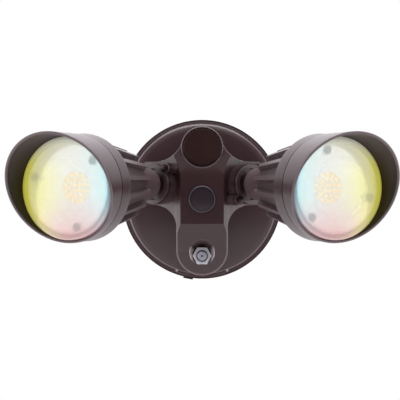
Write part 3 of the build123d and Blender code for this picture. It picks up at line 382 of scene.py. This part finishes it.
def hood_marks(coat, base, side):
    """Painted highlight along the slanted rim, painted shadow in the seam at the back, a faint
    painted sheen on top and painted shade inside, darkest below."""
    outward, height, radius, forward = head_places(coat, side)
    rim = (forward - RIM_AT - outward * RIM_OUT - height * RIM_UP) / RIM_LENGTH
    outside = (radius + forward * SHELL_TAPER).above(SHELL_R, 0.4)
    # painted shade inside the hood, darkest below
    inside = coat.mix((height / SHADE_HEIGHT).clamp(), INSIDE_LOW, INSIDE_HIGH)
    base = coat.mix(outside, coat.mix(0.85, base, inside), base)
    top = top_sheen(height, radius)
    # faint painted sheen on the hood's top outside
    base = coat.mix(outside * top * 0.15, base, PAINTED_SHEEN)
    # painted highlight along the slanted rim
    base = coat.mix(rim.above(-0.8, 0.4) * 0.55, base, PAINTED_HIGHLIGHT)
    # painted shadow in the seam between the hood and the heat sink
    seam = 1.0 - forward.above(HOOD_SEAM, 0.3)
    return coat.mix(seam * 0.95, base, SHADE_BLACK), outside * (0.5 + top * 0.5), seam * 0.9


def sink_marks(coat, base, side):
    """Painted shadow in the seam at the flange's front edge, fins painted paler than the flange, a
    faint painted sheen on top.
    """
    _, height, radius, forward = head_places(coat, side)
    flange = forward.above(FLANGE_BACK, 1.0)
    top = top_sheen(height, radius)
    # fins painted paler than the flange
    base = coat.mix((1.0 - flange) * 0.16, base, PAINTED_HIGHLIGHT)
    # faint painted sheen on top
    base = coat.mix(top * (0.03 + flange * 0.12), base, PAINTED_SHEEN)
    # painted shadow in the seam at the flange's front edge
    seam = forward.above(FLANGE_SEAM, 0.3)
    return coat.mix(seam * 0.95, base, SHADE_BLACK), top * 0.5 + 0.5, seam * 0.9


def coats_by_side(own, marks):
    """A powder coat for each side's piece of a kind, with its marks placed for that side."""
    return {name: powder_coat(name + own, BRONZE,
                              lambda coat, base, side=side: marks(coat, base, side))
            for name, side in SIDES}


paint = powder_coat("bronze_powder_coat", BRONZE)
canopy_paint = powder_coat("canopy_coat", BRONZE, canopy_marks)
collar_paint = coats_by_side("_collar_coat", collar_marks)
hood_paint = coats_by_side("_hood_coat", hood_marks)
sink_paint = coats_by_side("_heat_sink_coat", sink_marks)


def middle_of(node):
    """Middle of a CAD node's box, in millimetres."""
    lowest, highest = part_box(node)
    return tuple((low + high) / 2 / MM for low, high in zip(lowest, highest))


PLUG_EDGE_R, CELL_RING_R, CELL_FRONT = 14.75, 9.95, 47.0


def plug_marks(coat, base):
    """Thin painted highlight round the port plug's bevelled edge."""
    edge = coat.off_axis(WALLWARD, middle_of("port_plug")).near(PLUG_EDGE_R, 0.18, 0.2)
    return coat.mix(edge * 0.30, base, PAINTED_HIGHLIGHT), 0.5, None


plug_paint = powder_coat("plug_coat", (0.044, 0.015, 0.014), plug_marks, rough=0.38)


def plated_steel(name, colour, rough=0.30, metal=1.0):
    """Plated steel: metal with fine turning marks and cloudy patches in its gloss."""
    steel = Finish(name)
    cloud = steel.noise(400.0, 4.0)
    fine = steel.noise(3500.0, 2.0)
    base = steel.mix(cloud.above(0.5, 0.4), tuple(c * 0.86 for c in colour), colour)
    steel.surface(Base_Color=base, Metallic=metal, Roughness=rough + (cloud - 0.5) * 0.2,
                  Normal=steel.bump(fine, 0.000004))
    return steel.material


def plain_moulding(name, colour, rough=0.5, grain=1500.0, depth=0.00004, tone=0.08):
    """Moulded plastic or rubber: faint mottling and a fine moulded grain."""
    skin = Finish(name)
    mottle = skin.noise(160.0, 3.0)
    fine = skin.noise(grain, 2.0)
    base = skin.mix(mottle.above(0.5, 0.5), tuple(c * (1 - tone) for c in colour), colour)
    skin.surface(Base_Color=base, Roughness=rough + (mottle - 0.5) * 0.12,
                 Normal=skin.bump(fine, depth))
    return skin.material


zinc = plated_steel("zinc_plate", (0.78, 0.78, 0.86), metal=0.5)


RING_SHADE, DIMPLE_SHADE, DIMPLE_R = (0.035, 0.04, 0.055), (0.06, 0.07, 0.10), 0.8


def nut_steel(name, colour, ring_from, ring_to):
    """Bluish plate of the fixing nut or its stud, with painted shade: a dark ring where the thread
    starts and a dark dimple in the middle.
    """
    steel = Finish(name)
    from_middle = steel.off_axis(WALLWARD, (0.0, 0.0, STUD_Z))
    cloud = steel.noise(500.0, 3.0)
    base = steel.mix(cloud.above(0.5, 0.5), tuple(c * 0.78 for c in colour), colour)
    # painted shade: dark ring where the thread starts, then a dark dimple in the middle
    ring = from_middle.above(ring_from, 0.3) * (1.0 - from_middle.above(ring_to, 0.3))
    base = steel.mix(ring, base, RING_SHADE)
    base = steel.mix(1.0 - from_middle.above(DIMPLE_R, 0.5), base, DIMPLE_SHADE)
    steel.surface(Base_Color=base, Metallic=0.35, Roughness=0.34 + (cloud - 0.5) * 0.2,
                  Normal=steel.bump(steel.noise(3500.0, 2.0), 0.000004))
    return steel.material


nut_plate = nut_steel("nut_plate", (0.84, 0.835, 0.91), 3.9, 4.6)
stud_plate = nut_steel("stud_plate", (0.60, 0.59, 0.66), 3.4, 4.4)
dark_steel = plated_steel("dark_plate", (0.05, 0.036, 0.034), rough=0.42)
green_steel = plated_steel("green_plate", (0.10, 0.32, 0.13))
foam = plain_moulding("black_foam", (0.018, 0.017, 0.017), rough=0.85, grain=2200.0, depth=0.0002)
washer_rubber = plain_moulding("washer_rubber", (0.085, 0.045, 0.042), rough=0.6)
rubber = plain_moulding("black_rubber", (0.012, 0.012, 0.012), rough=0.55)


def cell_case(name):
    """Moulded case of the photocell, a thin lilac line where its front edge catches the light."""
    case = Finish(name)
    ring = case.off_axis(WALLWARD, middle_of("photocell_window")).near(CELL_RING_R, 0.18, 0.25)
    front = case.component(FRONT).above(CELL_FRONT, 0.4)
    base = case.mix(case.noise(160.0, 3.0).above(0.5, 0.5), (0.032, 0.024, 0.027),
                    (0.037, 0.028, 0.031))
    base = case.mix(ring * front * 0.55, base, (0.34, 0.29, 0.36))
    case.surface(Base_Color=base, Roughness=0.35,
                 Normal=case.bump(case.noise(1500.0, 2.0), 0.00004))
    return case.material


case_plastic = cell_case("cell_case_plastic")
dark_plastic = plain_moulding("cell_nut_plastic", (0.035, 0.026, 0.028), rough=0.35)
window_plastic = plain_moulding("cell_window_plastic", (0.041, 0.027, 0.036), rough=0.34)
driver_plastic = plain_moulding("driver_case", (0.62, 0.62, 0.60), rough=0.5)


HEAD_R = 37.0  # outward distance at which the colours of a lamp head end
BOSS_R, BOSS_REACH, BOSS_STEP = 28.8, 3.5, 120.0  # the reflector's screw bosses
BOSS_TURNS = {-1: 43.7, 1: 106.5}  # first boss of each reflector, degrees from +X
BOSS_SHADE = (0.20, 0.25, 0.19)
# painted reflected colours across a lamp head, from its inner side to its outer side
FILL_STOPS = [(0.0, (0.60, 0.84, 0.88)), (0.20, (0.78, 0.92, 0.94)), (0.42, (0.90, 0.90, 0.92)),
              (0.62, (0.93, 0.93, 0.90)), (0.80, (0.97, 0.96, 0.62)), (0.91, (0.96, 0.94, 0.36)),
              (1.0, (0.88, 0.85, 0.12))]
# deeper painted reflected colours of a lens's rim, from inner side to outer side
RIM_STOPS = [(0.0, (0.30, 0.44, 0.50)), (0.30, (0.60, 0.66, 0.66)), (0.62, (0.68, 0.68, 0.40)),
             (1.0, (0.80, 0.75, 0.04))]


def side_colours(finish, outward, stops):
    """Colours across a lamp head, from its inner side to its outer side."""
    return finish.node("ShaderNodeValToRGB", {"stops": stops},
                       Fac=(outward / HEAD_R * 0.5 + 0.5).clamp()).outputs[0]


def painted_room_light(finish, outward, height):
    """Painted reflected colours that fill a lamp head: yellow outside, blue-green inside, pink at
    the bottom.
    """
    across = side_colours(finish, outward, FILL_STOPS)
    low = ((-4.0 - height) / 30.0).clamp() ** 1.3
    pinkish = finish.mix(low * (1.0 - (outward / 40.0).clamp()) * 0.75, across, (0.82, 0.50, 0.50))
    top = ((height - 12.0) / 24.0).clamp()
    return finish.mix(top * 0.5, pinkish, (0.84, 0.86, 0.78))


def painted_rim_light(finish, outward, height):
    """Deeper painted reflected colours in a lens's rim: olive outside, blue-grey inside, pink low.
    """
    across = side_colours(finish, outward, RIM_STOPS)
    low = ((-14.0 - height) / 20.0).clamp() * (1.0 - (outward / 34.0).clamp())
    pinkish = finish.mix(low * 0.85, across, (0.50, 0.24, 0.24))
    return finish.mix(((height - 18.0) / 16.0).clamp() * 0.75, pinkish, (0.76, 0.78, 0.65))


def hood_shade(outward, height):
    """1 where the hood's soft shadow lies: outside an ellipse that is off the lens's middle."""
    across, above = (outward + 9.2) / 33.5, (height + 10.0) / 41.0
    return (across * across + above * above).sqrt().above(1.0, 0.07)


def reflector_white(name, side):
    """White moulded dish in painted reflected colours of the lamp head, grey-green on its screw
    bosses, with a painted glow.
    """
    dish = Finish(name)
    outward, height, _, _ = head_places(dish, side)
    shaded = painted_room_light(dish, outward, height)
    for step in range(3):
        turn = radians(BOSS_TURNS[side] + step * BOSS_STEP)
        away_out = outward - BOSS_R * cos(turn) * side
        away_up = height - BOSS_R * sin(turn)
        near = 1.0 - (away_out * away_out + away_up * away_up).sqrt().above(BOSS_REACH, 1.0)
        shaded = dish.mix(near * 0.88, shaded, BOSS_SHADE)
    mottle = dish.noise(300.0, 2.0)
    base = dish.mix(mottle.above(0.5, 0.8) * 0.05, shaded, (0.5, 0.5, 0.5))
    # painted glow: emission so the dish looks lit
    dish.surface(Base_Color=base, Roughness=0.4, Emission_Color=base, Emission_Strength=0.43)
    return dish.material


def led_phosphor(name):
    """Phosphor chips: warm yellow with small differences from chip to chip, and a painted glow."""
    chip = Finish(name)
    patch = chip.noise(420.0, 1.0)
    base = chip.mix(patch.above(0.5, 0.3), (0.95, 0.74, 0.42), (0.95, 0.86, 0.60))
    chip.surface(Base_Color=base, Roughness=0.4, Emission_Color=base, Emission_Strength=0.5)
    return chip.material


def board_mask(name):
    """White solder mask of the light board, faintly mottled, with a painted glow."""
    mask = Finish(name)
    mottle = mask.noise(500.0, 2.0)
    base = mask.mix(mottle.above(0.5, 0.5), (0.84, 0.79, 0.72), (0.88, 0.85, 0.80))
    mask.surface(Base_Color=base, Roughness=0.45, Emission_Color=base, Emission_Strength=0.35)
    return mask.material


GLASS_RIM_R, GLASS_RIM_SHIFT = 32.8, 0.05  # where the lens's rim starts, and its shift outward


def lens_glass(name, side):
    """Clear lens: a pale veil of painted reflected colours with a painted glow and the hood's
    painted shadow, and a rim of deeper painted colours with faint painted highlight streaks.
    """
    glass = Finish(name)
    outward, height, radius, _ = head_places(glass, side)
    light = painted_room_light(glass, outward, height)
    shade = hood_shade(outward, height)
    ripple = glass.noise(120.0, 3.0)
    rim = (radius + outward * GLASS_RIM_SHIFT).above(GLASS_RIM_R, 1.2)
    # faint painted highlight streaks in the rim
    streak = (radius * 2.2 + ripple * 5.0).sine() * 0.5 + 0.5
    rim_colour = glass.mix(streak * 0.10, painted_rim_light(glass, outward, height), (0.86, 0.86, 0.86))
    veil_colour = glass.mix(shade * 0.60, light, (0.60, 0.59, 0.38))
    body = glass.mix(rim, veil_colour, rim_colour)
    # painted glow in the veil
    veil = glass.node("ShaderNodeBsdfPrincipled", Base_Color=body, Roughness=0.35,
                      Emission_Color=body, Emission_Strength=0.39).outputs[0]
    clear = glass.node("ShaderNodeBsdfTransparent", Color=(0.98, 0.985, 0.98)).outputs[0]
    thin = 1.0 - radius.above(20.0, 10.0)
    share = (0.34 - thin * 0.18 + shade * 0.24 + (ripple - 0.5) * 0.10) * (1.0 - rim) + rim * 0.92
    milky = glass.node("ShaderNodeMixShader", socket_0=share, socket_1=clear, socket_2=veil)
    gloss = glass.node("ShaderNodeBsdfGlossy", Color=(0.62, 0.62, 0.63), Roughness=0.07)
    facing = glass.value(glass.node("ShaderNodeLayerWeight", Blend=0.10).outputs["Facing"])
    glass.close(glass.node("ShaderNodeMixShader", socket_0=facing + 0.02, socket_1=milky.outputs[0],
                           socket_2=gloss.outputs[0]).outputs[0])
    return glass.material


phosphor = led_phosphor("led_phosphor")
board_white = board_mask("board_mask")
reflectors = {name: reflector_white(name + "_reflector_white", side) for name, side in SIDES}
glasses = {name: lens_glass(name + "_lens_glass", side) for name, side in SIDES}

FINISHES = {
    "canopy": canopy_paint, "wall_gasket": foam, "mounting_plate": zinc,
    "ground_screw": green_steel, "mounting_stud": stud_plate, "mounting_washer": washer_rubber,
    "mounting_nut": nut_plate, "port_plug": plug_paint, "plug_sealing_ring": rubber,
    "photocell_case": case_plastic, "photocell_window": window_plastic,
    "photocell_nut": dark_plastic, "led_driver": driver_plastic, "driver_screws": zinc,
    "collar_screws": dark_steel, "port_sealing_ring": rubber, "swivel": paint,
    "spigot_nut": zinc, "hinge_pin": dark_steel, "led_board": board_white,
    "led_chips": phosphor, "reflector_screws": zinc, "hood_gasket": foam, "lens_gasket": foam,
    "hood_screws": dark_steel,
}
SIDE_FINISHES = {"swivel_collar": collar_paint, "heat_sink": sink_paint, "hood": hood_paint,
                 "reflector": reflectors, "lens": glasses}


WELD_DISTANCE, SMOOTH_ANGLE = 2e-6, 28.0  # metres, degrees


def smooth_group(name, angle):
    """Modifier that joins a casting's loose triangles and shades its curved faces smooth."""
    group = bpy.data.node_groups.new(name, "GeometryNodeTree")
    group.interface.new_socket("Geometry", in_out="INPUT", socket_type="NodeSocketGeometry")
    group.interface.new_socket("Geometry", in_out="OUTPUT", socket_type="NodeSocketGeometry")
    start = group.nodes.new("NodeGroupInput")
    end = group.nodes.new("NodeGroupOutput")
    weld = group.nodes.new("GeometryNodeMergeByDistance")
    weld.inputs["Distance"].default_value = WELD_DISTANCE
    bend = group.nodes.new("GeometryNodeInputMeshEdgeAngle")
    sharp = group.nodes.new("FunctionNodeCompare")
    sharp.operation = "LESS_THAN"
    sharp.inputs[1].default_value = radians(angle)
    faces = group.nodes.new("GeometryNodeSetShadeSmooth")
    faces.domain = "FACE"
    edges = group.nodes.new("GeometryNodeSetShadeSmooth")
    edges.domain = "EDGE"
    group.links.new(start.outputs[0], weld.inputs["Geometry"])
    group.links.new(weld.outputs[0], faces.inputs["Geometry"])
    group.links.new(faces.outputs[0], edges.inputs["Geometry"])
    group.links.new(bend.outputs[0], sharp.inputs[0])
    group.links.new(sharp.outputs[0], edges.inputs["Shade Smooth"])
    group.links.new(edges.outputs[0], end.inputs[0])
    return group


soft_shading = smooth_group("smooth_curved_faces", SMOOTH_ANGLE)

for node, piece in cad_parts.items():
    sided = node.startswith(("left_", "right_"))
    side_name, _, own = node.partition("_") if sided else ("", "", node)
    finish = SIDE_FINISHES[own][side_name] if own in SIDE_FINISHES else FINISHES[own]
    piece.data.materials.clear()
    piece.data.materials.append(finish)
    modifier = piece.modifiers.new("smooth_curved_faces", "NODES")
    modifier.node_group = soft_shading

# ---------------------------------------------------------------- lenses


def arc(middle, radius, start, stop, count):
    """Points of a circular arc in (radius, height): middle + r (cos a, sin a), a in degrees."""
    turn = np.radians(np.linspace(start, stop, count))
    return np.stack([middle[0] + radius * np.cos(turn), middle[1] + radius * np.sin(turn)], axis=1)


def revolved(name, profile, side, around=144):
    """Closed profile of (radius, height) points turned about a lamp head's axis: each point lies
    at pivot + height * forward + radius * (cos t * right + sin t * up), and the two points on
    the axis are made once."""
    pivot, right, up, forward = head_frame(side)
    turn = np.linspace(0.0, 2.0 * pi, around, endpoint=False)
    spoke = np.cos(turn)[:, None] * right + np.sin(turn)[:, None] * up
    body = profile[1:-1]
    rings = pivot + body[:, 1, None, None] * forward + body[:, 0, None, None] * spoke
    poles = pivot + profile[[0, -1], 1, None] * forward
    points = np.concatenate([rings.reshape(-1, 3), poles]) * MM
    here = np.arange(around)
    after = (here + 1) % around
    row = np.arange(len(body) - 1)[:, None] * around
    quads = np.stack([row + here, row + around + here, row + around + after, row + after], axis=-1)
    first, last = len(points) - 2, len(points) - 1
    end = (len(body) - 1) * around
    fans = np.concatenate([np.stack([np.full(around, first), here, after], axis=-1),
                           np.stack([np.full(around, last), end + after, end + here], axis=-1)])
    mesh = bpy.data.meshes.new(name)
    mesh.from_pydata(points.tolist(), [], quads.reshape(-1, 4).tolist() + fans.tolist())
    mesh.update()
    made = bpy.data.objects.new(name, mesh)
    bpy.context.scene.collection.objects.link(made)
    return made


# The lens in millimetres: places are forward from the pivot
LENS_R, LENS_WALL, LENS_CORNER = 37.35, 2.6, 3.4
LENS_SEAT, LENS_TOP, LENS_CROWN = 109.6, 118.2, 1.2


def lens_profile():
    """The glass cup's section: crown, round shoulder and wall outside, then the same inside."""
    flat_r = LENS_R - LENS_CORNER
    crown_radius = (flat_r ** 2 + LENS_CROWN ** 2) / (2 * LENS_CROWN)
    spread = degrees(np.arcsin(flat_r / crown_radius))
    crown = arc((0.0, LENS_TOP + LENS_CROWN - crown_radius), crown_radius, 90.0, 90.0 - spread, 16)
    shoulder = arc((flat_r, LENS_TOP - LENS_CORNER), LENS_CORNER, 90.0, 0.0, 10)[1:]
    inner = arc((flat_r, LENS_TOP - LENS_CORNER), LENS_CORNER - LENS_WALL, 0.0, 90.0, 6)
    under = crown[::-1] - (0.0, LENS_WALL)
    foot = np.array([(LENS_R, LENS_SEAT), (LENS_R - LENS_WALL, LENS_SEAT)])
    return np.concatenate([crown, shoulder, foot, inner, under[1:]])


for name, side in SIDES:
    glass = revolved(name + "_lens_glass", lens_profile(), side)
    glass.data.materials.append(glasses[name])
    glass.modifiers.new("smooth_curved_faces", "NODES").node_group = soft_shading
    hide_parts(name + "_lens")
    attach(glass, name + "_head")

# ---------------------------------------------------------------- room, lamps and camera


def flat_sheet(name, width, depth, height):
    """Level rectangular sheet, its corners at plus and minus half of each size."""
    x, y = width / 2, depth / 2
    mesh = bpy.data.meshes.new(name)
    mesh.from_pydata([(-x, -y, height), (x, -y, height), (x, y, height), (-x, y, height)], [],
                     [(0, 1, 2, 3)])
    made = bpy.data.objects.new(name, mesh)
    bpy.context.scene.collection.objects.link(made)
    return made


FLOOR_WIDTH, FLOOR_Z = 2.0, -0.30
floor = flat_sheet("studio_floor", FLOOR_WIDTH, FLOOR_WIDTH, FLOOR_Z)
pale = Finish("pale_floor")
cloudy = pale.noise(3.0, 2.0)
pale.surface(Base_Color=pale.mix(cloudy, (0.84, 0.84, 0.85), (0.88, 0.88, 0.88)), Roughness=0.7)
floor.data.materials.append(pale.material)

LAMP_AIM = (0, -0.05, 0)
LAMPS = (  # name, place, width and height in metres, power in watts
    ("left_softbox", (-1.2, -0.05, 0.10), 0.8, 1.0, 5.0),
    ("right_softbox", (1.2, -0.05, 0.10), 0.8, 1.0, 4.0),
    ("top_softbox", (0.0, -0.10, 1.1), 1.4, 0.8, 11.0),
)


def softbox(name, place, width, height, power):
    """Rectangular soft lamp at a place, turned to face the part."""
    data = bpy.data.lights.new(name, "AREA")
    data.shape = "RECTANGLE"
    data.size, data.size_y, data.energy = width, height, power
    lamp = bpy.data.objects.new(name, data)
    lamp.location = place
    lamp.rotation_euler = (Vector(LAMP_AIM) - Vector(place)).to_track_quat("-Z", "Y").to_euler()
    bpy.context.scene.collection.objects.link(lamp)


for lamp_values in LAMPS:
    softbox(*lamp_values)

# Pale room: dark towards the viewer, bright at the sides and behind the part, and somewhat lifted
# below it. The camera sees plain white.
ROOM_STOPS = [
    (0.0, (0.060, 0.052, 0.055)), (0.10, (0.09, 0.080, 0.085)), (0.22, (0.27, 0.25, 0.262)),
    (0.36, (0.66, 0.63, 0.66)), (0.50, (0.92, 0.89, 0.93)), (1.0, (0.95, 0.93, 0.96))]
world = bpy.data.worlds.new("pale_room")
room = Shading(world, "ShaderNodeOutputWorld")
look = room.node("ShaderNodeSeparateXYZ",
                 Vector=room.node("ShaderNodeTexCoord").outputs["Generated"])
depth = room.value(look.outputs["Y"])
below = (0.0 - room.value(look.outputs["Z"])).clamp()
level = room.node("ShaderNodeValToRGB", {"stops": ROOM_STOPS},
                  Fac=(depth * 0.5 + 0.5).clamp()).outputs[0]
lifted = room.mix(below * (1.0 - (depth + 1.0).clamp()) * 0.5, level, (0.75, 0.72, 0.75))
lit = room.node("ShaderNodeBackground", Color=lifted, Strength=1.0).outputs[0]
seen = room.node("ShaderNodeBackground", Color=(1.0, 1.0, 1.0), Strength=1.0).outputs[0]
ray = room.node("ShaderNodeLightPath").outputs["Is Camera Ray"]
room.close(room.node("ShaderNodeMixShader", socket_0=ray, socket_1=lit, socket_2=seen).outputs[0])
bpy.context.scene.world = world

# The camera fitted to the photograph: sensor and focal length in millimetres, place in metres
SENSOR, FOCAL, FAR_CLIP = 36.0, 156.06, 20.0
CAMERA_PLACE = (-0.001615, -1.4, -0.000606)
view = bpy.data.cameras.new("photo_view")
view.sensor_width = SENSOR
view.lens = FOCAL
view.clip_end = FAR_CLIP
camera = bpy.data.objects.new("photo_view", view)
camera.location = CAMERA_PLACE
camera.rotation_euler = (radians(90.0), 0.0, 0.0)
bpy.context.scene.collection.objects.link(camera)
bpy.context.scene.camera = camera
bpy.context.scene.view_settings.view_transform = "Standard"
